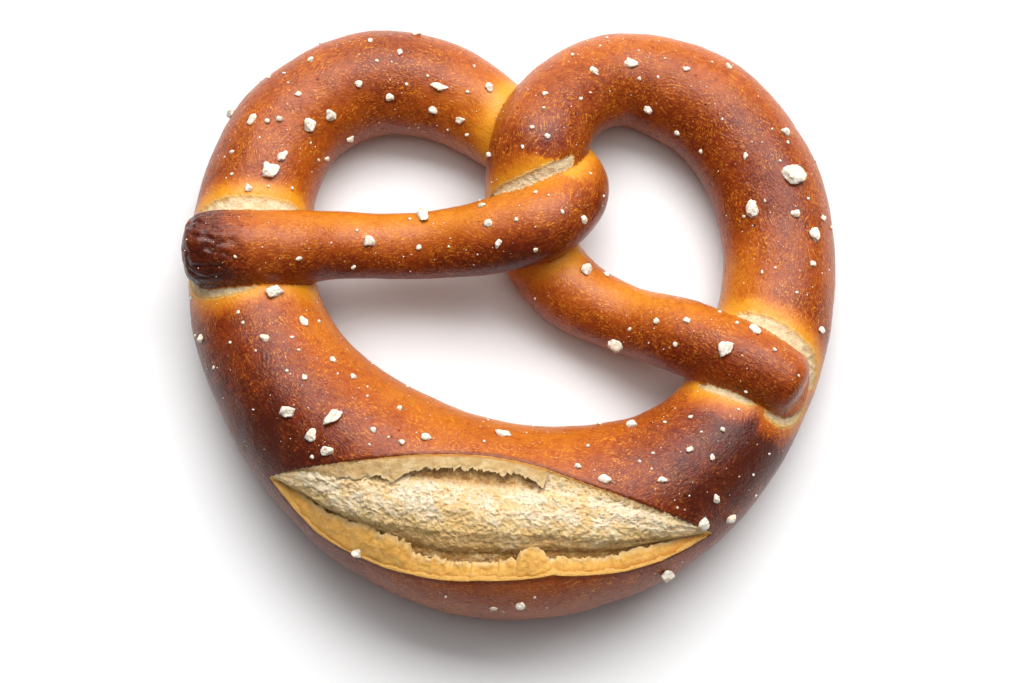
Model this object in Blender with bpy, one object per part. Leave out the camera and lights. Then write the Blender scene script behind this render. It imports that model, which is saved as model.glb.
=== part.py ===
"""A baked soft pretzel with coarse salt, about 160 mm across and 38 mm high.

It is one rope of dough. The rope starts in the thin left arm, turns back and dives under its other end,
makes the left loop, swells into the belly, makes the right loop, and passes over and then under the first
strand before it ends in the thin right arm. Both arms lie across the loops and have fused to them in the
oven. The belly has burst along its cut, the skin has torn beside the strands that lie on others, and the
salt is baked on.

The model is made in millimetres and brought to metres at the end. +Z is up, the loops are at +Y and the
belly is at -Y, and the origin is on the table under the middle of the pretzel.
"""

import math

import bmesh
import bpy
import numpy as np
from mathutils import Matrix, Vector, noise
from mathutils.bvhtree import BVHTree

MM = 0.001

# The rope's centre line, from the left arm's tip to the right arm's: x, y, height, and the radius there.
LEFT_ARM = (
    (-80, 14, 24.5, 8.8),
    (-70, 14, 25, 9.7),
    (-57.5, 14.5, 24, 9.4),
    (-43.5, 17, 19, 8.4),
    (-21.5, 17.5, 16.5, 8.3),
    (-3, 19, 21, 9.4),
)
TWIST_UNDER = (
    (8, 22, 22.5, 9.7),
    (14, 32, 17, 9.9),
    (9.5, 41, 11, 10.1),
    (-2.5, 51, 9.5, 10.9),
)
LEFT_LOOP = (
    (-18, 60.5, 10, 12.7),
    (-36, 62.5, 10, 13.4),
    (-54, 52.5, 10.5, 13.8),
    (-62.5, 36.5, 11, 14.4),
    (-65, 18, 11.5, 15.2),
)
BELLY = (
    (-62.5, -0.5, 12.5, 16.3),
    (-49.5, -24, 15, 19.2),
    (-31, -41, 17.5, 22.6),
    (-7.5, -51, 18, 23.8),
    (16.5, -50.5, 17.5, 22),
    (39, -41, 14.5, 18.4),
    (53.5, -26.5, 12.5, 15.5),
)
RIGHT_LOOP = (
    (63, -6.5, 11.5, 14.4),
    (66.5, 18.5, 10.5, 13.8),
    (63, 37, 10, 14),
    (48.5, 56.5, 10, 13.4),
    (27.5, 63.5, 10.5, 11.8),
)
TWIST_OVER = (
    (11.5, 52.5, 18, 11.6),
    (6, 40, 20.5, 11.9),
    (4.5, 30, 15, 11),
    (6, 20, 9, 9.9),
)
RIGHT_ARM = (
    (14.5, 8, 9.5, 9.5),
    (26.5, 1, 10.5, 8.8),
    (43.5, -7, 18.5, 9.4),
    (58.5, -15, 24, 8.7),
    (69.5, -21.5, 23, 7.7),
)
STATIONS = LEFT_ARM + TWIST_UNDER + LEFT_LOOP + BELLY + RIGHT_LOOP + TWIST_OVER + RIGHT_ARM
STEP = 1.0  # between two rings of the rope
SIDES = 40
FLATTEN = 0.9  # height over width of the rope's section, because proved dough sags
TIP_LENGTH = 0.65  # of a rounded arm tip, in radii
TIP_FACE = 0.1  # how far the first ring is taken to be from the tip, which leaves it a small face
TIP_SQUARENESS = 2.6  # of its outline; 2 is an ellipse
APART = 40.0  # along the rope, past which another stretch counts as another strand


def smooth_line(stations, step):
    """Points at equal steps on a smooth line through the stations, each with its x, y, height and radius."""
    knots = np.array(stations, float)
    spans = np.linalg.norm(np.diff(knots[:, :3], axis=0), axis=1)
    at = np.concatenate([[0.0], np.cumsum(spans)])
    slopes = np.gradient(knots, at, axis=0)
    along = np.linspace(0.0, at[-1], round(at[-1] / step) + 1)
    k = np.clip(np.searchsorted(at, along, side="right") - 1, 0, len(spans) - 1)
    span = spans[k][:, None]
    u = (along - at[k])[:, None] / span
    return (
        knots[k] * (2 * u**3 - 3 * u**2 + 1)
        + slopes[k] * span * (u**3 - 2 * u**2 + u)
        + knots[k + 1] * (3 * u**2 - 2 * u**3)
        + slopes[k + 1] * span * (u**3 - u**2)
    )


class Rope:
    """The line of dough: its centres, radii and lengths so far, and the ways along it, sideways and up."""

    def __init__(self):
        line = smooth_line(STATIONS, STEP)
        self.centre = line[:, :3]
        steps = np.linalg.norm(np.diff(self.centre, axis=0), axis=1)
        self.arc = np.concatenate([[0.0], np.cumsum(steps)])
        self.length = self.arc[-1]
        self.tangent = np.gradient(self.centre, self.arc, axis=0)
        self.tangent /= np.linalg.norm(self.tangent, axis=1)[:, None]
        self.side = np.cross(self.tangent, (0, 0, 1))
        self.side /= np.linalg.norm(self.side, axis=1)[:, None]
        self.up = np.cross(self.side, self.tangent)
        self.full_radius = line[:, 3]
        self.radius = self.full_radius * self.tip(self.arc) * self.tip(self.length - self.arc)

    def tip(self, away):
        """1 along the rope, falling in a rounded outline to a small face at the tip."""
        inside = 1 - np.clip((away + TIP_FACE) / (TIP_LENGTH * self.full_radius), 0, 1)
        return (1 - inside**TIP_SQUARENESS) ** (1 / TIP_SQUARENESS)

    def ring(self, k):
        """The matrix that brings a unit circle to ring k."""
        axes = Matrix((self.side[k], self.up[k] * FLATTEN, self.tangent[k])).transposed().to_4x4()
        return Matrix.Translation(self.centre[k]) @ axes @ Matrix.Scale(self.radius[k], 4)


# The burst along the belly, by its place along the rope and by angles from the section's top, outwards +.
BURST_START, BURST_END = 280.0, 371.0
BURST_TIP_ANGLE = 66.0  # where both lips meet
BURST_INNER_ANGLE = -31.0  # of the inner lip at mid length
BURST_ARCH = 0.83  # how full the inner lip's arch is; 1 is a parabola
BURST_OPENING = 2.5  # how fast the burst reaches its full depth from its ends
# the outer lip's angle, by place along the burst from -1 to 1
OUTER_LIP = ((-1, 66), (-0.7, 71), (-0.4, 64), (0, 50), (0.3, 46), (0.6, 56), (1, 66))
# the depth of the torn crumb below the skin, from the inner lip at 0 to the outer lip at 1
BURST_DEPTH = (
    (0, 0),
    (0.03, 1.0),
    (0.14, 1.4),
    (0.2, 3.4),
    (0.3, 1.6),
    (0.45, 0.5),
    (0.62, 1.0),
    (0.74, 2.8),
    (0.83, 4.6),
    (0.86, 4.2),
    (0.9, 1.6),
    (0.95, 0.6),
    (1, 0),
)
CRAG_HEIGHT = 0.9
CRAG_LENGTH = 5.0
LUMP_HEIGHT = 0.5
LUMP_LENGTH = 22.0

# Tears in the skin beside an arm: the arm, where each starts and ends on its outline, and its widest gap.
# An outline is measured from the middle of the tip, negative along the side towards +Y.
TEARS = (
    ("left", -37, -8, 4.6),
    ("left", 6, 26, 2.6),
    ("left", -119, -82, 5.6),
    ("right", -30, -3, 4.4),
    ("right", 1, 14, 2.2),
    ("right", 16, 31, 2.6),
)
TEAR_DEPTH = 1.1
TEAR_WALL = 3  # how steeply a tear's edge falls to that depth
NARROWEST_TEAR = 0.3
NEAR_TEAR = 5.0  # how far past a tear's ends the strand beside it still counts as the same arm


def along(knots, place):
    """The value at each place, on straight lines between the knots."""
    places, values = zip(*knots)
    return np.interp(place, places, values)


class Skin:
    """Where each point of the dough lies: along the rope, around it, and from the nearest other strand."""

    def __init__(self, points, rope):
        flat = np.array((1, 1, 1 / FLATTEN))
        centre = rope.centre * flat
        own = np.empty(len(points), int)
        other = np.empty(len(points), int)
        gap = np.empty(len(points))
        for start in range(0, len(points), 4000):
            some = slice(start, start + 4000)
            away = np.linalg.norm((points[some] * flat)[:, None] - centre[None], axis=2) - rope.radius
            own[some] = away.argmin(1)
            away[np.abs(rope.arc[own[some]][:, None] - rope.arc[None]) < APART] = np.inf
            other[some] = away.argmin(1)
            gap[some] = away.min(1)
        self.rope = rope
        self.points = points
        self.own, self.other, self.gap = own, other, gap
        offset = points - rope.centre[own]
        self.place = rope.arc[own] + np.einsum("ij,ij->i", offset, rope.tangent[own])
        out = np.einsum("ij,ij->i", offset, rope.side[own])
        up = np.einsum("ij,ij->i", offset, rope.up[own])
        self.angle = np.degrees(np.arctan2(out, up))
        away = out[:, None] * rope.side[own] + up[:, None] * rope.up[own]
        self.away = away / np.maximum(np.linalg.norm(away, axis=1), 1e-6)[:, None]

    def burst(self):
        """How far each point lies across the burst, from inner lip (0) to outer (1), and how open it is."""
        half = (BURST_END - BURST_START) / 2
        x = (self.place - BURST_START) / half - 1
        arch = np.clip(1 - x**2, 0, 1)
        inner = BURST_TIP_ANGLE - (BURST_TIP_ANGLE - BURST_INNER_ANGLE) * arch**BURST_ARCH
        outer = along(OUTER_LIP, x)
        across = (self.angle - inner) / np.maximum(outer - inner, 1)
        return np.where(np.abs(x) < 1, across, -1), np.clip(arch * BURST_OPENING, 0, 1)

    def outline(self, arm):
        """How far along the arm's outline each point's nearest place is, from the middle of the tip."""
        rope, k = self.rope, self.other
        tip = 0 if arm == "left" else len(rope.arc) - 1
        radius = rope.full_radius[tip]
        forward = rope.tangent[tip] * (-1 if arm == "left" else 1)
        turn = rope.centre[tip] - forward * TIP_LENGTH * radius
        from_turn = self.points - turn
        ahead = from_turn @ forward
        sideways = np.einsum("ij,ij->i", self.points - rope.centre[k], rope.side[k])
        travelled = np.abs(rope.arc[k] - rope.arc[tip]) - TIP_LENGTH * radius
        round_tip = radius * np.arctan2(from_turn @ rope.side[tip], np.maximum(ahead, 1e-6))
        beside = np.sign(sideways) * (math.pi / 2 * radius + np.maximum(travelled, 0))
        return np.where(ahead > 0, round_tip, beside)

    def tear(self):
        """How deep each point lies in a tear: 1 against the strand on top, 0 from the tear's edge on."""
        deep = np.zeros(len(self.points))
        half = self.rope.length / 2
        beside = self.rope.arc[self.other]
        below = self.points[:, 2] < self.rope.centre[self.other][:, 2] + self.rope.radius[self.other]
        for arm, start, end, width in TEARS:
            x = (self.outline(arm) - start) / (end - start) * 2 - 1
            gap = np.maximum(width * np.sqrt(np.clip(1 - x**2, 0, 1)), NARROWEST_TEAR)
            on_arm = (beside < half) == (arm == "left")
            tip = 0 if arm == "left" else self.rope.length
            near = np.abs(beside - tip) < max(abs(start), abs(end)) + NEAR_TEAR
            inside = on_arm & near & below & (gap > NARROWEST_TEAR) & (self.gap < gap)
            deep = np.where(inside, np.maximum(deep, 1 - self.gap / gap), deep)
        return deep


def rough(points, length):
    """Smooth noise from -1 to 1 with bumps about that long."""
    return np.array([noise.noise(point) for point in points / length])


def relief(skin):
    """How far each point of the skin stands out: the lumps of the dough, less the burst and the tears."""
    lumps = LUMP_HEIGHT * rough(skin.points, LUMP_LENGTH)
    across, open_ = skin.burst()
    crumb = along(BURST_DEPTH, across) * open_
    crags = CRAG_HEIGHT * rough(skin.points, CRAG_LENGTH) * np.clip(crumb, 0, 1)
    torn = TEAR_DEPTH * np.clip(TEAR_WALL * skin.tear(), 0, 1)
    return lumps - crumb + crags - torn


VOXEL = 1.1  # of the remesh that fuses the strands
SMOOTHING = 3  # rounds, which leave a soft crease between fused strands
DOUGH_TRIANGLES = 8000
SOLE_DEPTH = 1.2  # height over which the rounded underside turns into the flat sole
SOLE_SNAP = 0.06  # height up to which a corner of the thinned mesh belongs to the sole

# Salt, hand placed where it stands out: x, y, length, width and turn in degrees.
LUMPS = (
    (69, 33.7, 5.4, 4.8, 30),
    (-22, 23.5, 4.8, 3.0, 0),
    (-59.7, 34.5, 4.4, 3.6, 20),
    (-56.6, 38.4, 2.8, 2.2, 60),
    (36.5, -64.8, 5.2, 3.6, 25),
    (-50.3, 46.9, 3.4, 3.0, 0),
    (-45.1, 50.2, 2.6, 2.4, 0),
    (-18.1, 57.5, 4.0, 2.0, 80),
    (59.3, 25.7, 5.0, 2.6, 70),
    (74, 19, 4.0, 2.4, 100),
    (-57.4, 2.8, 4.2, 3.2, 0),
    (-41.8, -30.5, 4.8, 3.0, 110),
    (-52.8, -28.6, 3.4, 3.2, 0),
    (-46.9, -34.5, 2.8, 2.4, 40),
    (-43.1, -38.4, 2.6, 2.4, 0),
    (-2.1, -33.7, 3.6, 2.2, 90),
    (25.4, -7.2, 3.8, 3.4, 0),
    (51, -12.6, 4.0, 3.0, 60),
    (58.2, -7.4, 3.2, 2.2, 40),
    (44.9, -53.9, 3.4, 2.8, 60),
    (-70.4, 53.1, 3.0, 2.4, 30),
    (29.5, 64.1, 3.4, 2.2, 0),
    (17.9, 11.1, 3.2, 2.6, 0),
    (-36.2, -61.2, 2.4, 2.2, 0),
)
GRAINS = 62  # scattered, on top of the lumps
SPOTS_TRIED = 900  # for them, in turn
GRAIN_SIZES = (1.5, 2.9)  # length of the smallest and the largest of them
GRAIN_SPACING = 5.5
GRAIN_SEED = 7
SUNK = 0.3  # of a grain's height that lies below the skin
HEIGHT_OF_GRAIN = 0.75  # over its width
CORNER_JITTER = 0.22
STEEPEST = 0.3  # least upward part of the skin's normal where a scattered grain stays
CLEAR_OF_BURST = 0.1  # how far outside the lips a grain stays, over the burst's width
CLEAR_OF_STRAND = 2.0
REACH = (82, 76)  # half the width and depth over which salt is scattered
ABOVE = 100.0  # a height over all of the pretzel, from which a grain is dropped


def clear_scene():
    for obj in list(bpy.data.objects):
        bpy.data.objects.remove(obj)


def material(name, colour, roughness):
    made = bpy.data.materials.new(name)
    made.use_nodes = True
    shader = made.node_tree.nodes["Principled BSDF"]
    shader.inputs["Base Color"].default_value = (*colour, 1)
    shader.inputs["Roughness"].default_value = roughness
    shader.inputs["Metallic"].default_value = 0
    return made


def new_object(name, bm):
    mesh = bpy.data.meshes.new(name)
    bm.to_mesh(mesh)
    bm.free()
    obj = bpy.data.objects.new(name, mesh)
    bpy.context.scene.collection.objects.link(obj)
    return obj


def apply_modifiers(obj):
    graph = bpy.context.evaluated_depsgraph_get()
    mesh = bpy.data.meshes.new_from_object(obj.evaluated_get(graph))
    obj.modifiers.clear()
    old = obj.data
    obj.data = mesh
    bpy.data.meshes.remove(old)


def swept(rope):
    """The rope as one closed tube, which passes through itself at the crossings and under the arms."""
    bm = bmesh.new()
    bmesh.ops.create_circle(bm, cap_ends=True, segments=SIDES, radius=1, matrix=rope.ring(0))
    edges = [edge for edge in bm.edges if edge.is_boundary or len(edge.link_faces) == 1]
    for k in range(1, len(rope.arc)):
        grown = bmesh.ops.extrude_edge_only(bm, edges=edges)["geom"]
        ring = [item for item in grown if isinstance(item, bmesh.types.BMVert)]
        edges = [item for item in grown if isinstance(item, bmesh.types.BMEdge) and item.is_boundary]
        bmesh.ops.transform(bm, matrix=rope.ring(k) @ rope.ring(k - 1).inverted(), verts=ring)
    bmesh.ops.contextual_create(bm, geom=edges)
    bmesh.ops.recalc_face_normals(bm, faces=bm.faces)
    return new_object("pretzel", bm)


def coordinates(mesh):
    points = np.empty(len(mesh.vertices) * 3)
    mesh.vertices.foreach_get("co", points)
    return points.reshape(-1, 3)


def fuse(obj):
    """Makes one skin of the crossing strands, and softens the creases between them."""
    remesh = obj.modifiers.new("fuse", "REMESH")
    remesh.mode = "VOXEL"
    remesh.voxel_size = VOXEL
    soften = obj.modifiers.new("soften", "SMOOTH")
    soften.iterations = SMOOTHING
    apply_modifiers(obj)


def stand(points):
    """Rounds the underside into a flat sole at height 0."""
    height = points[:, 2]
    blend = np.clip((height + SOLE_DEPTH) / (2 * SOLE_DEPTH), 0, 1)
    points[:, 2] = np.where(height < SOLE_DEPTH, SOLE_DEPTH * blend**2, height)


def bake(obj, rope):
    """Gives the skin its lumps, burst and tears, and its flat sole."""
    points = coordinates(obj.data)
    skin = Skin(points, rope)
    points += skin.away * relief(skin)[:, None]
    stand(points)
    obj.data.vertices.foreach_set("co", points.ravel())
    obj.data.update()


def thin_out(obj, triangles):
    """Leaves that many triangles, the small ones where the skin bends, and makes the sole exactly flat."""
    obj.data.calc_loop_triangles()
    decimate = obj.modifiers.new("thin out", "DECIMATE")
    decimate.ratio = triangles / len(obj.data.loop_triangles)
    decimate.use_collapse_triangulate = True
    apply_modifiers(obj)
    points = coordinates(obj.data)
    points[points[:, 2] < SOLE_SNAP, 2] = 0
    obj.data.vertices.foreach_set("co", points.ravel())
    obj.data.update()


def add_grain(bm, spot, normal, length, width, turn, chips):
    """One crystal: an icosahedron with its corners moved, half sunk in the skin."""
    height = HEIGHT_OF_GRAIN * width
    tilt = normal.to_track_quat("Z", "X").to_matrix().to_4x4()
    size = Matrix.Diagonal((length / 2, width / 2, height / 2, 1))
    centre = Matrix.Translation(spot + normal * height * (0.5 - SUNK))
    place = centre @ tilt @ Matrix.Rotation(math.radians(turn), 4, "Z") @ size
    made = bmesh.ops.create_icosphere(bm, subdivisions=1, radius=1, matrix=place)
    for vert in made["verts"]:
        vert.co += Vector(chips.normal(0, CORNER_JITTER * width / 3, 3).tolist())


def bare(spot, rope):
    """Whether a grain can lie here: outside the burst and the tears, and not against another strand."""
    skin = Skin(np.array([spot]), rope)
    in_burst = -CLEAR_OF_BURST < skin.burst()[0][0] < 1 + CLEAR_OF_BURST
    return not in_burst and skin.tear()[0] == 0 and skin.gap[0] > CLEAR_OF_STRAND


def salt(obj, rope):
    """The grains that lie on the skin, each a closed crystal."""
    ground = BVHTree.FromPolygons(
        [vert.co for vert in obj.data.vertices], [tuple(face.vertices) for face in obj.data.polygons]
    )
    down = Vector((0, 0, -1))
    draw = np.random.default_rng(GRAIN_SEED)
    chips = np.random.default_rng(GRAIN_SEED + 1)
    placed = []
    bm = bmesh.new()
    for x, y, length, width, turn in LUMPS:
        spot, normal, *_ = ground.ray_cast(Vector((x, y, ABOVE)), down)
        add_grain(bm, spot, normal, length, width, turn, chips)
        placed.append(spot)
    for x, y, share, slim, turn in draw.random((SPOTS_TRIED, 5)).tolist():
        above = Vector(((2 * x - 1) * REACH[0], (2 * y - 1) * REACH[1], ABOVE))
        spot, normal, *_ = ground.ray_cast(above, down)
        if len(placed) == len(LUMPS) + GRAINS or not spot or normal.z < STEEPEST:
            continue
        if any((spot - near).length < GRAIN_SPACING for near in placed) or not bare(spot, rope):
            continue
        length = GRAIN_SIZES[0] + (GRAIN_SIZES[1] - GRAIN_SIZES[0]) * share**2
        add_grain(bm, spot, normal, length, length * (0.7 + 0.3 * slim), 360 * turn, chips)
        placed.append(spot)
    bmesh.ops.recalc_face_normals(bm, faces=bm.faces)
    return new_object("salt", bm)


def join(obj, grains):
    """One Boolean union makes the dough and its salt one solid."""
    loose = bpy.data.collections.new("loose")
    loose.objects.link(grains)
    union = obj.modifiers.new("salt on dough", "BOOLEAN")
    union.operation = "UNION"
    union.operand_type = "COLLECTION"
    union.collection = loose
    union.solver = "EXACT"
    apply_modifiers(obj)
    bpy.data.objects.remove(grains)
    bpy.data.collections.remove(loose)


def finish(obj):
    """Puts the origin on the table under the middle, and brings the mesh to metres."""
    points = coordinates(obj.data)
    middle = (points.min(0) + points.max(0)) / 2
    points -= (middle[0], middle[1], points[:, 2].min())
    obj.data.vertices.foreach_set("co", (points * MM).ravel())
    obj.data.update()
    obj.data.materials.clear()
    obj.data.materials.append(material("baked crust", (0.36, 0.11, 0.03), 0.35))
    obj.data.shade_smooth()


def main():
    clear_scene()
    rope = Rope()
    pretzel = swept(rope)
    fuse(pretzel)
    bake(pretzel, rope)
    thin_out(pretzel, DOUGH_TRIANGLES)
    join(pretzel, salt(pretzel, rope))
    finish(pretzel)


if __name__ == "__main__":
    main()
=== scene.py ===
"""The looks of a baked, salted soft pretzel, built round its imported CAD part.

The pieces are shaped in millimetres in the frame of the rope of dough, as the CAD source is, and `settle`
brings each finished mesh to metres in the row frame. +Z is up, the loops are at +Y and the belly is at -Y.
"""

import math

import bmesh
import bpy
import numpy as np
from mathutils import Matrix, Vector, noise
from mathutils.bvhtree import BVHTree


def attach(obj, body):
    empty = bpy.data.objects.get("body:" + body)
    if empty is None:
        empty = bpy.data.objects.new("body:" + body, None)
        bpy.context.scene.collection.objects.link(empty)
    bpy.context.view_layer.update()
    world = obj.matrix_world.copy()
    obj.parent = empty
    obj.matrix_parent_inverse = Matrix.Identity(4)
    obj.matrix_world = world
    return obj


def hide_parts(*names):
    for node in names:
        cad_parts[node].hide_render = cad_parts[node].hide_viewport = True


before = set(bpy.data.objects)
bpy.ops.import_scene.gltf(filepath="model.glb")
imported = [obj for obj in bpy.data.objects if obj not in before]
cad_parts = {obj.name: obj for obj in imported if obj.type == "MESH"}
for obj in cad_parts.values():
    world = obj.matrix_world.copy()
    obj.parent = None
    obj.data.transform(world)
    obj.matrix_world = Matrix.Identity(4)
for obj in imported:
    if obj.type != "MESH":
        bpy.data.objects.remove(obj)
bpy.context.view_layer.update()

# ----------------------------------------------------------------------------------------
# The camera stands over the pretzel as over a plate, and looks down on it a little from the belly's side.
# It is far enough away that the strands show without stretching.
# ----------------------------------------------------------------------------------------
MM = 0.001
AIM = Vector((-0.05, -6.86, 14.0)) * MM
DISTANCE = 593 * MM
ELEVATION = math.radians(75)
FOCAL_LENGTH, SENSOR_WIDTH = 85, 36

lens = bpy.data.cameras.new("camera")
lens.lens = FOCAL_LENGTH
lens.sensor_width = SENSOR_WIDTH
camera = bpy.data.objects.new("camera", lens)
bpy.context.scene.collection.objects.link(camera)
camera.location = AIM + Vector((0, -math.cos(ELEVATION), math.sin(ELEVATION))) * DISTANCE
camera.rotation_euler = (math.pi / 2 - ELEVATION, 0, 0)
bpy.context.scene.camera = camera

# ----------------------------------------------------------------------------------------
# The crust is the baked skin of one rope of wheat dough, dipped in lye, which turns it a glossy brown. The
# rope was rolled thin at its arms and thick at its belly, looped, twisted once, and its arms pressed on the
# loops. In the oven it swelled, burst along the cut in its belly, and tore beside the arms.
# ----------------------------------------------------------------------------------------
# The rope's centre line, from the left arm's tip to the right arm's: x, y, height, and the radius there.
LEFT_ARM = (
    (-80, 14, 24.5, 8.8),
    (-70, 14, 25, 9.7),
    (-57.5, 14.5, 24, 9.4),
    (-43.5, 17, 19, 8.4),
    (-21.5, 17.5, 16.5, 8.3),
    (-3, 19, 21, 9.4),
)
TWIST_UNDER = (
    (8, 22, 22.5, 9.7),
    (14, 32, 17, 9.9),
    (9.5, 41, 11, 10.1),
    (-2.5, 51, 9.5, 10.9),
)
LEFT_LOOP = (
    (-18, 60.5, 10, 12.7),
    (-36, 62.5, 10, 13.4),
    (-54, 52.5, 10.5, 13.8),
    (-62.5, 36.5, 11, 14.4),
    (-65, 18, 11.5, 15.2),
)
BELLY = (
    (-62.5, -0.5, 12.5, 16.3),
    (-49.5, -24, 15, 19.2),
    (-31, -41, 17.5, 22.6),
    (-7.5, -51, 18, 23.8),
    (16.5, -50.5, 17.5, 22),
    (39, -41, 14.5, 18.4),
    (53.5, -26.5, 12.5, 15.5),
)
RIGHT_LOOP = (
    (63, -6.5, 11.5, 14.4),
    (66.5, 18.5, 10.5, 13.8),
    (63, 37, 10, 14),
    (48.5, 56.5, 10, 13.4),
    (27.5, 63.5, 10.5, 11.8),
)
TWIST_OVER = (
    (11.5, 52.5, 18, 11.6),
    (6, 40, 20.5, 11.9),
    (4.5, 30, 15, 11),
    (6, 20, 9, 9.9),
)
RIGHT_ARM = (
    (14.5, 8, 9.5, 9.5),
    (26.5, 1, 10.5, 8.8),
    (43.5, -7, 18.5, 9.4),
    (58.5, -15, 24, 8.7),
    (69.5, -21.5, 23, 7.7),
)
STATIONS = LEFT_ARM + TWIST_UNDER + LEFT_LOOP + BELLY + RIGHT_LOOP + TWIST_OVER + RIGHT_ARM
STEP = 1.0  # between two rings of the rope
SIDES = 48
FLATTEN = 0.9  # height over width of the rope's section, because proved dough sags
TIP_LENGTH = 0.65  # of a rounded arm tip, in radii
TIP_FACE = 0.1  # how far before the tip its small flat face lies
TIP_SQUARENESS = 2.6  # of its outline; 2 is an ellipse
APART = 40.0  # along the rope, past which another stretch counts as another strand


def smooth_line(stations, step):
    """Points at equal steps on a smooth line through the stations, each with its x, y, height and radius."""
    knots = np.array(stations, float)
    spans = np.linalg.norm(np.diff(knots[:, :3], axis=0), axis=1)
    at = np.concatenate([[0.0], np.cumsum(spans)])
    slopes = np.gradient(knots, at, axis=0)
    line = np.linspace(0.0, at[-1], round(at[-1] / step) + 1)
    k = np.clip(np.searchsorted(at, line, side="right") - 1, 0, len(spans) - 1)
    span = spans[k][:, None]
    u = (line - at[k])[:, None] / span
    return (
        knots[k] * (2 * u**3 - 3 * u**2 + 1)
        + slopes[k] * span * (u**3 - 2 * u**2 + u)
        + knots[k + 1] * (3 * u**2 - 2 * u**3)
        + slopes[k + 1] * span * (u**3 - u**2)
    )


class Rope:
    """The line of dough: its centres, radii and lengths so far, and the ways along it, sideways and up."""

    def __init__(self):
        line = smooth_line(STATIONS, STEP)
        self.centre = line[:, :3]
        steps = np.linalg.norm(np.diff(self.centre, axis=0), axis=1)
        self.arc = np.concatenate([[0.0], np.cumsum(steps)])
        self.length = self.arc[-1]
        self.tangent = np.gradient(self.centre, self.arc, axis=0)
        self.tangent /= np.linalg.norm(self.tangent, axis=1)[:, None]
        self.side = np.cross(self.tangent, (0, 0, 1))
        self.side /= np.linalg.norm(self.side, axis=1)[:, None]
        self.up = np.cross(self.side, self.tangent)
        self.full_radius = line[:, 3]
        self.radius = self.full_radius * self.tip(self.arc) * self.tip(self.length - self.arc)

    def tip(self, away):
        """1 along the rope, falling in a rounded outline to a small face at the tip."""
        inside = 1 - np.clip((away + TIP_FACE) / (TIP_LENGTH * self.full_radius), 0, 1)
        return (1 - inside**TIP_SQUARENESS) ** (1 / TIP_SQUARENESS)

    def ring(self, k):
        """The matrix that brings a unit circle to ring k."""
        axes = Matrix((self.side[k], self.up[k] * FLATTEN, self.tangent[k])).transposed().to_4x4()
        return Matrix.Translation(self.centre[k]) @ axes @ Matrix.Scale(self.radius[k], 4)

    def at(self, place, angle, height):
        """Points at a place along the rope, an angle from the section's top and a height over the skin."""
        centre, side, up = (
            np.stack([np.interp(place, self.arc, row) for row in rows.T], -1)
            for rows in (self.centre, self.side, self.up)
        )
        turn = np.radians(angle)
        skin = np.interp(place, self.arc, self.radius) / np.hypot(np.sin(turn), np.cos(turn) / FLATTEN)
        out = np.sin(turn)[:, None] * side + np.cos(turn)[:, None] * up
        at_skin = centre + skin[:, None] * out
        lumps = LUMP_HEIGHT * rough(at_skin, LUMP_LENGTH)
        return at_skin + (height + lumps)[:, None] * out


# The burst along the belly, by its place along the rope and by angles from the section's top, outwards +.
BURST_START, BURST_END = 280.0, 371.0
BURST_TIP_ANGLE = 66.0  # where both lips meet
BURST_INNER_ANGLE = -31.0  # of the inner lip at mid length
BURST_ARCH = 0.83  # how full the inner lip's arch is; 1 is a parabola
BURST_OPENING = 2.5  # how fast the burst reaches its full depth from its ends
# the outer lip's angle, by place along the burst from -1 to 1
OUTER_LIP = ((-1, 66), (-0.7, 71), (-0.4, 64), (0, 50), (0.3, 46), (0.6, 56), (1, 66))
# the depth of the torn crumb below the skin, from the inner lip at 0 to the outer lip at 1
BURST_DEPTH = (
    (0, 0),
    (0.03, 1.4),
    (0.1, 2.8),
    (0.16, 3.3),
    (0.27, 1.4),
    (0.45, 0.5),
    (0.62, 1.0),
    (0.74, 2.8),
    (0.83, 4.6),
    (0.86, 4.2),
    (0.9, 1.6),
    (0.95, 0.6),
    (1, 0),
)
CAVITY = 1.8  # how far the crust piece lies below the crumb inside the burst
CAVITY_WALL = (0.3, 1.8)  # how far in from the lips it starts to fall to that, and has fallen

# Tears in the skin beside an arm: the arm, where each starts and ends on its outline, its widest gap, and
# where between its ends that is, from -1 to 1. An outline is measured from the middle of the tip, negative
# along the side towards +Y.
TEARS = (
    ("left", -41, -1, 4.5, 0.4),
    ("left", 4, 26, 2.6, -0.5),
    ("left", -121, -86, 3.5, -0.5),
    ("right", -31, -3, 4.2, 0.45),
    ("right", 1, 14, 2.4, 0),
    ("right", 16, 31, 2.6, 0),
)
TEAR_SQUARENESS = 3.2  # of a tear's outline; 2 is an ellipse
TEAR_DEPTH = 0.4
TEAR_WALL = 0.7  # over which a tear's edge falls to that depth
NO_TEAR = -20.0  # what stands for the depth inside a tear where none is near
NEAR_TEAR = 5.0  # how far past a tear's ends the strand beside it still counts as the same arm
FOLD_HEIGHT, FOLD_LENGTH = 0.3, 2.2  # of the crumpled crumb in the tears
FOLD_SEED = 9
LUMP_HEIGHT = 0.5
LUMP_LENGTH = 22.0
DIMPLES = ((0.16, 6.5), (0.07, 2.2))  # height and length of the skin's own unevenness
WRINKLES = ((0.5, 3.6), (0.28, 1.6))  # height and length of the scorched skin's folds at the left arm's tip
WRINKLE_PULL = (0.5, 1, 1)  # how close the folds lie each way, because the arm's skin was drawn lengthwise
WRINKLE_SWING = (1.2, 6.0)  # how far a fold swings aside, and over what length
FOLD_SLOPE = 3  # how steeply a fold rises from its crease
FOLD_LEVEL = 0.6  # of a fold's height, which is level with the skin
CRACK_WIDTH = 0.09  # of a crease that is coloured near black, over the folds' whole height
SCORCHED = (9.0, 23.0)  # how far from the left arm's tip the skin is scorched through, and at all

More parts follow.
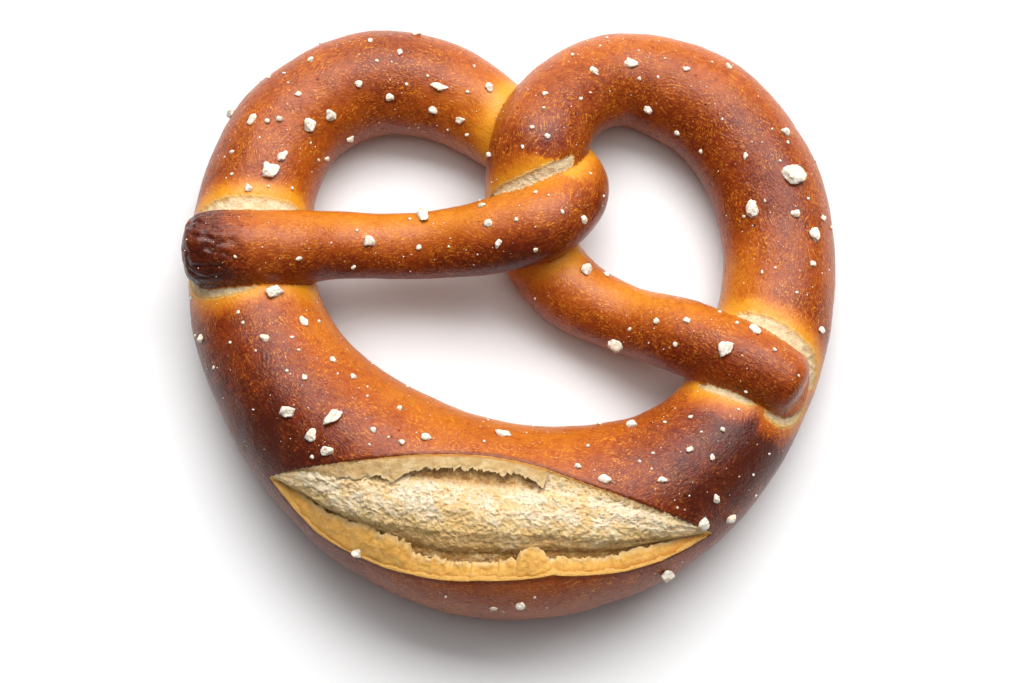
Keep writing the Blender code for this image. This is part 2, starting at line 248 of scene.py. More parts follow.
EVEN_BAKE = 0.42  # how pale the crust is by itself: 0 is black and 1 is gold
CREASE_REACH = 7.5  # how far the crust stays pale beside another strand, which shaded it
PALE_UNDER, PALE_OVER = 0.52, 0.12  # how much paler it is there, on the lower strand and on the upper
PALE_TEAR = (7.0, 0.76)  # how far the stretched skin beside a tear is paler, and how much
PAST_EDGE = 0.5  # how far past a crease's or a tear's edge it is palest
# Where the crust is darker, or paler where the last number is below zero, partly as the oven browned it and
# partly painted shade on sides turned away from the softbox and painted light on sides turned towards it: the
# place along the rope and the angle from the section's top, how far it reaches along and around, and how much
# darker it is there.
BROWNING_AND_PAINTED_LIGHT = (
    (258, 74, 44, 50, 0.30),
    (284, 34, 24, 42, 0.30),
    (252, 0, 26, 40, 0.14),
    (246, -60, 36, 36, -0.18),
    (374, 20, 26, 70, 0.33),
    (397, 46, 18, 56, 0.36),
    (444, 8, 40, 46, 0.16),
    (470, -20, 20, 60, 0.10),
    (428, -60, 12, 46, -0.30),
    (452, -70, 26, 36, 0.10),
    (620, 45, 36, 60, 0.20),
    (634, 10, 20, 60, 0.12),
    (44, 66, 40, 42, 0.26),
    (84, 60, 16, 50, 0.26),
    (56, -40, 44, 46, -0.36),
    (600, -30, 30, 46, -0.40),
    (325, -60, 50, 40, -0.20),
    (162, 0, 22, 100, 0.10),
    (110, 0, 14, 90, -0.14),
    (134, 0, 12, 120, -0.24),
    (531, -20, 17, 60, 0.13),
    (549, 16, 9, 80, 0.20),
    (498, -50, 26, 36, 0.16),
    (506, 44, 32, 40, -0.12),
    (330, 84, 60, 25, -0.02),
)


def between(value, low, high):
    """0 below low, 1 above high, and a smooth step in between."""
    share = np.clip((value - low) / (high - low), 0, 1)
    return share * share * (3 - 2 * share)


def along(knots, place):
    """The value at each place, on straight lines between the knots."""
    places, values = zip(*knots)
    return np.interp(place, places, values)


def rough(points, length):
    """Smooth noise from -1 to 1 with bumps about that long."""
    return np.array([noise.noise(point) for point in points / length])


AT_ONCE = 4000  # points that are measured together, to spare memory


class Skin:
    """Where each point of the dough lies: along the rope, around it, and from the nearest other strand."""

    def __init__(self, points, rope):
        flat = np.array((1, 1, 1 / FLATTEN))
        centre = rope.centre * flat
        own = np.empty(len(points), int)
        other = np.empty(len(points), int)
        gap = np.empty(len(points))
        for start in range(0, len(points), AT_ONCE):
            some = slice(start, start + AT_ONCE)
            here = points[some] * flat
            square = (here**2).sum(1)[:, None] + (centre**2).sum(1) - 2 * here @ centre.T
            away = np.sqrt(np.maximum(square, 0)) - rope.radius
            own[some] = away.argmin(1)
            away[np.abs(rope.arc[own[some]][:, None] - rope.arc[None]) < APART] = np.inf
            other[some] = away.argmin(1)
            gap[some] = away.min(1)
        self.rope = rope
        self.points = points
        self.own, self.other, self.gap = own, other, gap
        offset = points - rope.centre[own]
        self.place = rope.arc[own] + np.einsum("ij,ij->i", offset, rope.tangent[own])
        out = np.einsum("ij,ij->i", offset, rope.side[own])
        up = np.einsum("ij,ij->i", offset, rope.up[own])
        self.angle = np.degrees(np.arctan2(out, up))
        away = out[:, None] * rope.side[own] + up[:, None] * rope.up[own]
        self.away = away / np.maximum(np.linalg.norm(away, axis=1), 1e-6)[:, None]

    def burst(self):
        """How far each point lies across the burst, how open that is, and how far in from the nearer lip."""
        x, inner, outer = lips(self.place)
        across = (self.angle - inner) / np.maximum(outer - inner, 1)
        inward = np.minimum(self.angle - inner, outer - self.angle)
        inward = np.radians(inward) * self.rope.radius[self.own]
        inside = np.abs(x) < 1
        opening = np.clip((1 - x**2) * BURST_OPENING, 0, 1)
        past = (np.abs(x) - 1) * (BURST_END - BURST_START) / 2
        beyond = -np.hypot(past, np.radians(self.angle - BURST_TIP_ANGLE) * self.rope.radius[self.own])
        return np.where(inside, across, -1), opening, np.where(inside, inward, beyond)

    def outline(self, arm):
        """How far along the arm's outline each point's nearest place is, from the middle of the tip."""
        rope, k = self.rope, self.other
        tip = 0 if arm == "left" else len(rope.arc) - 1
        radius = rope.full_radius[tip]
        forward = rope.tangent[tip] * (-1 if arm == "left" else 1)
        turn = rope.centre[tip] - forward * TIP_LENGTH * radius
        from_turn = self.points - turn
        ahead = from_turn @ forward
        sideways = np.einsum("ij,ij->i", self.points - rope.centre[k], rope.side[k])
        travelled = np.abs(rope.arc[k] - rope.arc[tip]) - TIP_LENGTH * radius
        round_tip = radius * np.arctan2(from_turn @ rope.side[tip], np.maximum(ahead, 1e-6))
        beside = np.sign(sideways) * (math.pi / 2 * radius + np.maximum(travelled, 0))
        return np.where(ahead > 0, round_tip, beside)

    def torn(self):
        """How far each point lies inside a tear's edge, in millimetres, and below zero outside."""
        deep = np.full(len(self.points), NO_TEAR)
        half = self.rope.length / 2
        beside = self.rope.arc[self.other]
        below = self.points[:, 2] < self.rope.centre[self.other][:, 2] + self.rope.radius[self.other]
        for arm, start, end, width, widest in TEARS:
            x = (self.outline(arm) - start) / (end - start) * 2 - 1
            from_widest = (x - widest) / (1 - widest * np.sign(x - widest))
            reach = width * np.sqrt(np.clip(1 - np.abs(from_widest) ** TEAR_SQUARENESS, 0, 1)) - self.gap
            past = -np.hypot(np.maximum(np.abs(x) - 1, 0) * (end - start) / 2, self.gap)
            on_arm = (beside < half) == (arm == "left")
            tip = 0 if arm == "left" else self.rope.length
            near = np.abs(beside - tip) < max(abs(start), abs(end)) + NEAR_TEAR
            inside = np.where(np.abs(x) < 1, reach, past)
            deep = np.where(on_arm & near & below, np.maximum(deep, inside), deep)
        return deep


def lips(place):
    """The place along the burst, from -1 to 1, and the angles of its inner and outer lip."""
    x = (place - BURST_START) / (BURST_END - BURST_START) * 2 - 1
    arch = np.clip(1 - x**2, 0, 1)
    inner = BURST_TIP_ANGLE - (BURST_TIP_ANGLE - BURST_INNER_ANGLE) * arch**BURST_ARCH
    return x, inner, along(OUTER_LIP, x)


def scorched(skin):
    """1 at the left arm's tip, falling to 0 along the arm, and nothing on the loop below."""
    away = np.linalg.norm(skin.points - skin.rope.centre[0], axis=1)
    return (1 - between(away, *SCORCHED)) * (skin.place < 2 * SCORCHED[1])


def folds(skin):
    """The creases of the scorched skin, from 0 in a crease upwards, coarse and fine."""
    swing, swing_length = WRINKLE_SWING
    pulled = skin.points * WRINKLE_PULL + swing * rough(skin.points, swing_length)[:, None]
    return [np.abs(rough(pulled, length)) for _, length in WRINKLES]


def relief(skin):
    """How far each point of the skin stands out: lumps and wrinkles, less the burst and the tears."""
    points = skin.points
    raised = LUMP_HEIGHT * rough(points, LUMP_LENGTH)
    for height, length in DIMPLES:
        raised += height * rough(points, length)
    scorch = scorched(skin)
    for (height, _), fold in zip(WRINKLES, folds(skin)):
        raised += height * scorch * (np.minimum(fold * FOLD_SLOPE, 1) - FOLD_LEVEL)
    across, opening, inward = skin.burst()
    crumb = along(BURST_DEPTH, across) * opening + CAVITY * between(inward, *CAVITY_WALL) * opening
    torn = between(skin.torn(), 0, TEAR_WALL)
    crumpled = FOLD_SLOPE * np.abs(rough(points + FOLD_SEED, FOLD_LENGTH)) - FOLD_LEVEL
    tear = torn * (TEAR_DEPTH + FOLD_HEIGHT * crumpled)
    return raised - np.where(inward > 0, crumb, 0) - tear


def paleness(skin):
    """How pale the crust is baked, 0 black to 1 gold, before its fine mottle, with some painted shade and
    light.
    """
    lower = skin.rope.centre[skin.own][:, 2] < skin.rope.centre[skin.other][:, 2]
    crease = between(-skin.gap, -CREASE_REACH, PAST_EDGE) * np.where(lower, PALE_UNDER, PALE_OVER)
    reach, paler = PALE_TEAR
    pale = EVEN_BAKE + np.maximum(crease, paler * between(skin.torn(), -reach, PAST_EDGE))
    # the patches darken or pale the crust, partly as baked and partly as painted shade and painted light
    for place, angle, far, round_it, darker in BROWNING_AND_PAINTED_LIGHT:
        away = ((skin.place - place) / far) ** 2
        turned = ((skin.angle - angle) / round_it) ** 2
        pale -= darker * np.exp(-away - turned)
    return pale


MIDDLE = np.array((0.05, 0.563, 0))  # of the dough in the rope's frame, which the row frame has as its origin
VOXEL = 0.56  # of the remesh that fuses the strands
SMOOTHING = 8  # rounds, which leave a soft crease between fused strands
CRUST_TRIANGLES = 195000
SOLE_DEPTH = 1.2  # height over which the rounded underside turns into the flat sole


def new_object(name, bm):
    """The bmesh as an object of the scene, its faces turned outwards."""
    bmesh.ops.recalc_face_normals(bm, faces=bm.faces)
    mesh = bpy.data.meshes.new(name)
    bm.to_mesh(mesh)
    bm.free()
    piece = bpy.data.objects.new(name, mesh)
    bpy.context.scene.collection.objects.link(piece)
    return piece


def apply_modifiers(piece):
    graph = bpy.context.evaluated_depsgraph_get()
    mesh = bpy.data.meshes.new_from_object(piece.evaluated_get(graph))
    piece.modifiers.clear()
    piece.data = mesh


def coordinates(mesh):
    points = np.empty(len(mesh.vertices) * 3)
    mesh.vertices.foreach_get("co", points)
    return points.reshape(-1, 3)


def put(mesh, points):
    mesh.vertices.foreach_set("co", points.ravel())
    mesh.update()


def note(mesh, name, values):
    """Keeps a number, or three, at each corner of the mesh, for its material."""
    kind = "FLOAT" if values.ndim == 1 else "FLOAT_VECTOR"
    key = "value" if values.ndim == 1 else "vector"
    mesh.attributes.new(name, kind, "POINT").data.foreach_set(key, values.astype(np.float32).ravel())


def settle(piece, material):
    """Brings a finished mesh to metres in the row frame, and ties it to the part."""
    put(piece.data, (coordinates(piece.data) - MIDDLE) * MM)
    piece.data.shade_smooth()
    piece.data.materials.clear()
    piece.data.materials.append(material)
    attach(piece, "root")
    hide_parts("pretzel")


def swept(rope):
    """The rope as one closed tube, which passes through itself at the crossings and under the arms."""
    bm = bmesh.new()
    bmesh.ops.create_circle(bm, cap_ends=True, segments=SIDES, radius=1, matrix=rope.ring(0))
    edges = bm.edges[:]
    for k in range(1, len(rope.arc)):
        grown = bmesh.ops.extrude_edge_only(bm, edges=edges)["geom"]
        ring = [item for item in grown if isinstance(item, bmesh.types.BMVert)]
        edges = [item for item in grown if isinstance(item, bmesh.types.BMEdge) and item.is_boundary]
        bmesh.ops.transform(bm, matrix=rope.ring(k) @ rope.ring(k - 1).inverted(), verts=ring)
    bmesh.ops.contextual_create(bm, geom=edges)
    return new_object("crust", bm)


rope = Rope()
crust = swept(rope)
remesh = crust.modifiers.new("fuse", "REMESH")
remesh.mode = "VOXEL"
remesh.voxel_size = VOXEL
soften = crust.modifiers.new("soften", "SMOOTH")
soften.iterations = SMOOTHING
apply_modifiers(crust)
points = coordinates(crust.data)
skin = Skin(points, rope)
points += skin.away * relief(skin)[:, None]
height = points[:, 2]
blend = np.clip((height + SOLE_DEPTH) / (2 * SOLE_DEPTH), 0, 1)
points[:, 2] = np.where(height < SOLE_DEPTH, SOLE_DEPTH * blend**2, height)
put(crust.data, points)
crust.data.calc_loop_triangles()
thin = crust.modifiers.new("thin out", "DECIMATE")
thin.ratio = min(1, CRUST_TRIANGLES / len(crust.data.loop_triangles))
thin.use_collapse_triangulate = True
apply_modifiers(crust)

points = coordinates(crust.data)
skin = Skin(points, rope)
round_it = np.radians(skin.angle) * rope.radius[skin.own]
scorch = scorched(skin)
creases = np.minimum(*(np.clip(fold / CRACK_WIDTH, 0, 1) for fold in folds(skin)))
note(crust.data, "strand", np.stack([skin.place, round_it, np.zeros(len(points))], -1))
note(crust.data, "pale", paleness(skin))
note(crust.data, "torn", skin.torn())
note(crust.data, "lip", skin.burst()[2])
note(crust.data, "scorch", scorch)
note(crust.data, "cracked", scorch * (1 - creases))


class Finish:
    """A procedural material, whose nodes are added and joined one by one. Lengths in it are millimetres."""

    def __init__(self, name):
        self.material = bpy.data.materials.new(name)
        self.material.use_nodes = True
        self.nodes = self.material.node_tree.nodes
        self.links = self.material.node_tree.links
        self.shader = self.nodes["Principled BSDF"]
        place = self.add("ShaderNodeTexCoord").outputs["Object"]
        self.place = self.vector("MULTIPLY", place, (1 / MM,) * 3)

    def add(self, kind, inputs=(), **settings):
        node = self.nodes.new(kind)
        for key, value in settings.items():
            setattr(node, key, value)
        for key, value in dict(inputs).items():
            self.feed(node.inputs[key], value)
        return node

    def feed(self, socket, value):
        if isinstance(value, bpy.types.NodeSocket):
            self.links.new(value, socket)
        else:
            socket.default_value = value

    def set(self, **values):
        for key, value in values.items():
            self.feed(self.shader.inputs[key.replace("_", " ")], value)

    def vector(self, operation, a, b):
        return self.add("ShaderNodeVectorMath", {0: a, 1: b}, operation=operation).outputs[0]

    def number(self, operation, a, b=0.0):
        return self.add("ShaderNodeMath", {0: a, 1: b}, operation=operation).outputs[0]

    def plus(self, a, b):
        return self.number("ADD", a, b)

    def less(self, a, b):
        return self.number("SUBTRACT", a, b)

    def times(self, a, b):
        return self.number("MULTIPLY", a, b)

    def noted(self, name, output="Fac"):
        """What note kept on the mesh."""
        return self.add("ShaderNodeAttribute", attribute_name=name).outputs[output]

    def cloud(self, length, detail=2.0, roughness=0.5, at=None):
        """Noise from 0 to 1 with bumps about that long."""
        inputs = {"Vector": at or self.place, "Scale": 1 / length, "Detail": detail, "Roughness": roughness}
        return self.add("ShaderNodeTexNoise", inputs).outputs["Fac"]

    def uneven(self, length, detail, roughness=0.5):
        """Noise about zero."""
        return self.less(self.cloud(length, detail, roughness), 0.5)

    def cells(self, length):
        """The distance to the nearest of many scattered points, over their spacing."""
        inputs = {"Vector": self.place, "Scale": 1 / length}
        return self.add("ShaderNodeTexVoronoi", inputs).outputs["Distance"]

    def step(self, value, low, high, to_low=0.0, to_high=1.0):
        """A smooth step from one value at low to another at high."""
        inputs = {"Value": value, 1: low, 2: high, 3: to_low, 4: to_high}
        return self.add("ShaderNodeMapRange", inputs, interpolation_type="SMOOTHSTEP").outputs["Result"]

    def ramp(self, value, *stops):
        """A colour by value, from stops of place and colour."""
        node = self.add("ShaderNodeValToRGB", {"Fac": value})
        elements = node.color_ramp.elements
        while len(elements) < len(stops):
            elements.new(0.5)
        for element, (place, colour) in zip(elements, stops):
            element.position = place
            element.color = (*colour, 1)
        return node.outputs["Color"]

    def mix(self, share, a, b):
        colours = [c if isinstance(c, bpy.types.NodeSocket) else (*c, 1) for c in (a, b)]
        node = self.add("ShaderNodeMix", data_type="RGBA")
        self.feed(node.inputs["Factor"], share)
        self.feed(node.inputs[6], colours[0])
        self.feed(node.inputs[7], colours[1])
        return node.outputs[2]

    def bump(self, height):
        """Relief of that height."""
        inputs = {"Height": height, "Distance": MM, "Strength": 1.0}
        self.feed(self.shader.inputs["Normal"], self.add("ShaderNodeBump", inputs).outputs["Normal"])


SOOT = (0.060, 0.008, 0.003)
MAHOGANY = (0.155, 0.018, 0.003)
CHESTNUT = (0.33, 0.062, 0.005)
AMBER = (0.48, 0.132, 0.007)
GOLD = (0.66, 0.26, 0.015)
FLECK = (0.68, 0.26, 0.018)
RIM = (0.66, 0.36, 0.09)
SCORCHED_LIP = (0.10, 0.018, 0.006)
CREAM = (0.68, 0.53, 0.32)
TAN = (0.62, 0.42, 0.23)
# painted shade, for the pores of the bare crumb
PORE_SHADE = (0.38, 0.21, 0.08)
TIP_CREASE_DARK = (0.012, 0.003, 0.002)

BLOTCHES, MOTTLE = 0.36, 0.66  # how much the bake changes from place to place, and over a few millimetres
SCORCH, BURNT = 0.42, 0.4  # how much darker the scorched tip and the small burnt bubbles are
SWING = 9  # how far the rows of flecks swing aside, and over what length
FLECK_SQUEEZE = (0.8, 3.6, 1)  # along the rope and around it, because the dough was rolled
GRAIN_SQUEEZE = (0.6, 1.6, 1)  # likewise of the skin's fine grain
TEAR_RIM = (-0.5, -0.1, 0.0, 1.1)  # inside a tear's edge, where its rim begins and is full, and its crumb too
SATIN, SATIN_CHANGE, SATIN_BARE = 0.30, 0.25, 0.45  # roughness, and more with the mottle and where torn

baked = Finish("baked crust")
torn = baked.noted("torn")
lip = baked.noted("lip")
scorch = baked.noted("scorch")

# how browned it is, from black at 0 to gold at 1, with the painted shade and light of some patches
mottle = baked.uneven(2.4, 6.0, 0.8)
bubbled = baked.step(baked.cloud(11.0, 2.0), 0.5, 0.65)
burnt_bubbles = baked.times(baked.step(baked.cells(4.5), 0.10, 0.05), bubbled)
shade = baked.plus(baked.noted("pale"), baked.times(baked.uneven(15.0, 3.0, 0.6), BLOTCHES))
shade = baked.plus(shade, baked.times(mottle, MOTTLE))
shade = baked.less(shade, baked.times(scorch, SCORCH))
shade = baked.less(shade, baked.times(burnt_bubbles, BURNT))
skin_colour = baked.ramp(shade, (0.0, SOOT), (0.2, MAHOGANY), (0.45, CHESTNUT), (0.7, AMBER), (1.0, GOLD))

# the golden flecks of the skin, in rows round the rope
swirl = baked.add("ShaderNodeTexNoise", {"Vector": baked.place, "Scale": 1 / SWING, "Detail": 1.0})
swirl = baked.vector("SUBTRACT", swirl.outputs["Color"], (0.5, 0.5, 0.5))
swirl = baked.vector("MULTIPLY", swirl, (SWING, SWING, 0))
curved = baked.vector("ADD", baked.noted("strand", "Vector"), swirl)
streaks = baked.cloud(1.0, 2.0, 0.6, baked.vector("MULTIPLY", curved, FLECK_SQUEEZE))
specks = baked.cloud(0.6, 2.0, 0.55)
flecks = baked.number("MAXIMUM", baked.step(streaks, 0.56, 0.65), baked.step(specks, 0.60, 0.70))
flecks = baked.times(flecks, baked.step(baked.cloud(6.0, 3.0, 0.6), 0.35, 0.62, 0.3, 1.0))
flecks = baked.times(flecks, baked.step(shade, -0.05, 0.4, 0.1, 0.8))
skin_colour = baked.mix(flecks, skin_colour, FLECK)

# near black in the creases of the tip's folds, and the dark line along the burst's lips
skin_colour = baked.mix(baked.times(baked.noted("cracked"), 0.75), skin_colour, TIP_CREASE_DARK)
lip_line = baked.times(baked.step(lip, -1.6, -0.5), baked.step(lip, 0.1, -0.1))
skin_colour = baked.mix(baked.times(lip_line, 0.6), skin_colour, SCORCHED_LIP)

# the bare crumb inside the tears and the burst, with painted shade in its pores, and the golden rim round it
crumb_colour = baked.mix(baked.step(baked.cloud(2.2, 4.0, 0.6), 0.4, 0.65), CREAM, TAN)
pore_shade = baked.step(baked.cells(0.9), 0.26, 0.08)
crumb_colour = baked.mix(baked.times(pore_shade, 0.6), crumb_colour, PORE_SHADE)
ragged = baked.plus(torn, baked.times(baked.uneven(1.3, 3.0, 0.6), 1.3))
rim = baked.mix(baked.step(ragged, *TEAR_RIM[:2]), skin_colour, RIM)
surface = baked.mix(baked.step(ragged, *TEAR_RIM[2:]), rim, crumb_colour)
in_burst = baked.step(lip, -0.05, 0.1)
surface = baked.mix(in_burst, surface, baked.mix(baked.step(lip, 1.0, 1.8), RIM, crumb_colour))
bare = baked.number("MAXIMUM", baked.step(ragged, -0.15, 0.2), in_burst)

fine_rows = baked.cloud(1.1, 3.0, 0.6, baked.vector("MULTIPLY", curved, GRAIN_SQUEEZE))
grain = baked.plus(baked.times(baked.cloud(0.45, 3.0, 0.6), 0.06), baked.times(fine_rows, 0.14))
grain = baked.plus(grain, baked.times(baked.cells(0.8), 0.05))
grain = baked.plus(grain, baked.times(burnt_bubbles, -0.15))
grain = baked.plus(grain, baked.times(baked.times(bare, baked.cloud(0.9, 4.0, 0.7)), 0.5))
satin = baked.plus(baked.times(mottle, SATIN_CHANGE), baked.plus(baked.times(bare, SATIN_BARE), SATIN))
satin = baked.less(satin, baked.times(scorch, 0.06))
baked.set(Base_Color=surface, Roughness=satin, Specular_IOR_Level=0.32)
baked.bump(grain)
settle(crust, baked.material)

# ----------------------------------------------------------------------------------------
# The torn crumb is the white inside of the loaf, which rose through the cut in the belly and ripped as it
# grew. It is soft, dry and full of small holes, with tufts where strings of gluten snapped.
# ----------------------------------------------------------------------------------------
CRUMB_ROWS = 420  # along the burst
CRUMB_COLUMNS = 170  # across it
CRUMB_TOP = 0.86  # of the columns, the rest closing it underneath
CRUMB_THICKNESS = 3.0
CRUMB_LENGTH = 0.995  # of the burst's
CRUMB_EDGES = (0.03, 0.985)  # across the burst
CRAG_HEIGHT, CRAG_LENGTH = 0.75, 7.0
TUFT_HEIGHT, TUFT_LENGTH, TUFT_SIZES = 0.4, 2.6, 3
TUFT_LEVEL = 0.5  # of a tuft's height, which is level with the crumb
BUBBLES = ((0.45, 1.9), (0.55, 1.05), (0.4, 0.62))  # depth and size of the broken bubbles
BUBBLE_LEVEL = 0.45  # of a bubble's wall, which is level with the crumb
BUBBLE_BEND = (0.5, 1.5)  # how far the bubbles are pushed out of round, and over what length
FIBRE_HEIGHT = 0.3  # of the pulled strings below the inner lip
FIBRES = (45, 4)  # how many there are along half the burst, and across it
FIBRE_ENDS = (0.3, 0.6)  # across the burst, where the strings fade
VALLEY = (0.66, 0.76)  # across the burst, where the crumb falls towards the outer lip
SHALLOWER = 0.25  # share of its depth that the valley loses away from its left end
SHALLOWING = (-0.55, -0.15)  # along the burst, where it loses that
SMOOTHER = 0.4  # share of its roughness that the crumb loses in the valley
BELOW_FLAP = 3.5  # how deep the crumb lies under the flap
UNDER_FLAP = (0.76, 0.82)  # across the burst, where it falls to that
DEPTH_OF_RELIEF = 0.4  # of the crumb below the skin, past which its relief is full
# share of its depth that the hollow under the ledge keeps, by place along the burst from -1 to 1
HOLLOW = ((-1, 0.5), (-0.62, 0.55), (-0.4, 1), (0.25, 1), (0.38, 0.35), (1, 0.3))
HOLLOW_END = (0.28, 0.45)  # across the burst, where that hollow ends


def wrapped(name, rows, columns, shape):
    """A closed sheet: a grid whose columns go round its section, and whose ends run to a point.

    shape takes the places along the sheet and round its section, both from 0 to 1. It gives the points, and
    by name the numbers at each point that the material needs.
    """
    bm = bmesh.new()
    bmesh.ops.create_grid(bm, x_segments=rows, y_segments=columns, size=0.5)
    grid = np.array([vert.co for vert in bm.verts])
    moved, marks = shape(grid[:, 0] + 0.5, grid[:, 1] + 0.5)
    for mark, values in marks.items():
        layer = bm.verts.layers.float.new(mark)
        for vert, value in zip(bm.verts, values.tolist()):
            vert[layer] = value
    for vert, co in zip(bm.verts, moved.tolist()):
        vert.co = co
    bmesh.ops.remove_doubles(bm, verts=bm.verts, dist=1e-4)
    return new_object(name, bm)


def tufts(points):
    """Noise from 0 upwards with sharp valleys, in several sizes."""
    return np.array([noise.turbulence(point, TUFT_SIZES, True) for point in points / TUFT_LENGTH])


def bubbles(points, size):
    """Broken bubbles of about that size: 0 at their bottoms, and up to about 1 on the walls between them."""
    return np.array([noise.voronoi(point)[0][0] for point in points / size])


def burst_point(x, across, height):
    """The point at a place along and across the burst."""
    place = BURST_START + (x + 1) / 2 * (BURST_END - BURST_START)
    _, inner, outer = lips(place)
    return rope.at(place, inner + across * (outer - inner), height)


def crumb_shape(length, around):
    """The crumb's rough top from lip to lip, and its plain underside inside the loaf."""
    x = (2 * length - 1) * CRUMB_LENGTH
    top = around < CRUMB_TOP
    low, high = CRUMB_EDGES
    forth = low + (high - low) * around / CRUMB_TOP
    back = high + (low - high) * (around - CRUMB_TOP) / (1 - CRUMB_TOP)
    across = np.where(top, forth, back)
    opening = np.clip((1 - x**2) * BURST_OPENING, 0, 1)
    flat = burst_point(x, across, np.zeros(len(x)))
    depth = along(BURST_DEPTH, across)
    depth *= 1 - SHALLOWER * between(across, *VALLEY) * between(x, *SHALLOWING)
    depth *= 1 - (1 - along(HOLLOW, x)) * (1 - between(across, *HOLLOW_END))
    depth = np.maximum(depth, BELOW_FLAP * between(across, *UNDER_FLAP))
    raised = CRAG_HEIGHT * rough(flat, CRAG_LENGTH)
    raised += TUFT_HEIGHT * (tufts(flat) - TUFT_LEVEL)
    bend, bend_length = BUBBLE_BEND
    bent = flat + bend * rough(flat, bend_length)[:, None]
    for height, size in BUBBLES:
        raised += height * (bubbles(bent, size) - BUBBLE_LEVEL)
    strings = np.stack([x * FIBRES[0], across * FIBRES[1], np.zeros(len(x))], -1)
    raised += FIBRE_HEIGHT * rough(strings, 1.0) * (1 - between(across, *FIBRE_ENDS))
    kept = np.clip(depth / DEPTH_OF_RELIEF, 0, 1) * (1 - SMOOTHER * between(across, *VALLEY))
    height = np.where(top, raised * kept - depth, -depth - CRUMB_THICKNESS)
    marks = {"across": across, "length": x, "raised": raised, "depth": depth * opening}
    return burst_point(x, across, height * opening), marks


crumb = wrapped("crumb", CRUMB_ROWS, CRUMB_COLUMNS, crumb_shape)

# the white is laid on as a painted highlight, the tan as painted shade and the brown as a painted shadow; the
# cream, oat and grey are the crumb's own
LIT_CRUMB_WHITE = (0.82, 0.72, 0.54)
TORN_CREAM = (0.80, 0.58, 0.28)
SHADED_CRUMB_TAN = (0.66, 0.37, 0.12)
CRUMB_SHADOW_BROWN = (0.42, 0.20, 0.05)
TORN_OAT = (0.74, 0.50, 0.205)
TORN_GREY = (0.64, 0.45, 0.25)

fluffy = Finish("torn crumb")
height = fluffy.noted("raised")
# white on the lit top below the inner lip as a painted highlight, creamy further out, and tan at both edges
# as painted shade, just under the ledge and in the valley at the outer lip; greyer at the pointed ends
wander = fluffy.plus(fluffy.noted("across"), fluffy.times(fluffy.uneven(5.0, 3.0), 0.3))
colour = fluffy.ramp(
    wander, (0.0, SHADED_CRUMB_TAN), (0.14, LIT_CRUMB_WHITE), (0.42, LIT_CRUMB_WHITE), (0.6, TORN_CREAM), (0.8, SHADED_CRUMB_TAN)
)
ends = fluffy.step(fluffy.number("ABSOLUTE", fluffy.noted("length")), 0.45, 0.95)
colour = fluffy.mix(fluffy.times(ends, 0.4), colour, TORN_GREY)
# painted shade, tan in its pits and brown in its deep hollows under the ledge and the flap; patches of oat;
# and a painted highlight, white on its tufts
colour = fluffy.mix(fluffy.times(fluffy.step(height, 0.3, -1.3), 0.6), colour, SHADED_CRUMB_TAN)
hollow_shadow = fluffy.step(fluffy.noted("depth"), 1.3, 3.4)
colour = fluffy.mix(fluffy.times(hollow_shadow, 0.9), colour, CRUMB_SHADOW_BROWN)
patches = fluffy.step(fluffy.cloud(5.0, 6.0, 0.8), 0.46, 0.58)
colour = fluffy.mix(fluffy.times(patches, 0.8), colour, TORN_OAT)
speckle = fluffy.step(fluffy.cloud(0.7, 4.0, 0.75), 0.50, 0.64)
colour = fluffy.mix(fluffy.times(speckle, 0.5), colour, TORN_OAT)
colour = fluffy.mix(fluffy.times(fluffy.step(height, 0.1, 0.9), 0.5), colour, LIT_CRUMB_WHITE)
# painted shade in its holes, tan, which the bump below also sinks
small_holes = fluffy.step(fluffy.cells(0.95), 0.28, 0.12)
large_holes = fluffy.step(fluffy.cells(1.7), 0.20, 0.10)
holes = fluffy.number("MAXIMUM", small_holes, large_holes)
colour = fluffy.mix(fluffy.times(holes, 0.65), colour, SHADED_CRUMB_TAN)
fluffy.set(Base_Color=colour, Roughness=0.85, Specular_IOR_Level=0.3)
fluffy.set(Subsurface_Weight=0.5, Subsurface_Radius=(1.0, 0.6, 0.28), Subsurface_Scale=0.7 * MM)
fluffy.bump(fluffy.plus(fluffy.times(fluffy.cloud(0.5, 6.0, 0.85), 0.45), fluffy.times(holes, -0.35)))
settle(crumb, fluffy.material)

# ----------------------------------------------------------------------------------------
# The ledge and the flap are what is left of the skin that stretched pale over the rising crumb and then tore.
# The ledge hangs over the crumb from the inner lip, and the flap stands along the outer lip, browned to gold.
# ----------------------------------------------------------------------------------------
# How far across the burst the torn edge of each is, by place along it from -1 to 1.
LEDGE_EDGE = (
    (-1, 0.05),
    (-0.77, 0.27),
    (-0.6, 0.22),
    (-0.47, 0.24),
    (-0.43, 0.15),
    (-0.3, 0.11),
    (0, 0.11),
    (0.07, 0.15),
    (0.13, 0.08),
    (0.22, 0.14),
    (0.27, 0.17),
    (0.3, 0.04),
    (0.56, 0.04),
    (0.62, 0.13),
    (0.67, 0.17),
    (0.71, 0.05),
    (1, 0.02),
)
FLAP_EDGE = (
    (-1, 0.8),
    (-0.88, 0.82),
    (-0.75, 0.75),
    (-0.5, 0.72),
    (-0.31, 0.77),
    (-0.27, 0.87),
    (0, 0.88),
    (0.14, 0.86),
    (0.16, 0.76),
    (0.2, 0.71),
    (0.25, 0.76),
    (0.28, 0.89),
    (0.5, 0.87),
    (0.64, 0.8),
    (0.9, 0.86),
    (1, 0.9),
)
SHEET_ROWS = 620
SHEET_COLUMNS = 44
SHEET_TOP = 0.62  # of the columns, the rest being the underside
SHEET_LENGTH = 0.99  # of the burst's
SHEET_ENDS = 12  # how fast a sheet reaches its full height from its pointed ends
SHEET_BOW = 1.2  # how much it bows from its lip to its torn edge; 1 is straight
SHEET_RIM = 4  # how square its torn edge is; 2 is round
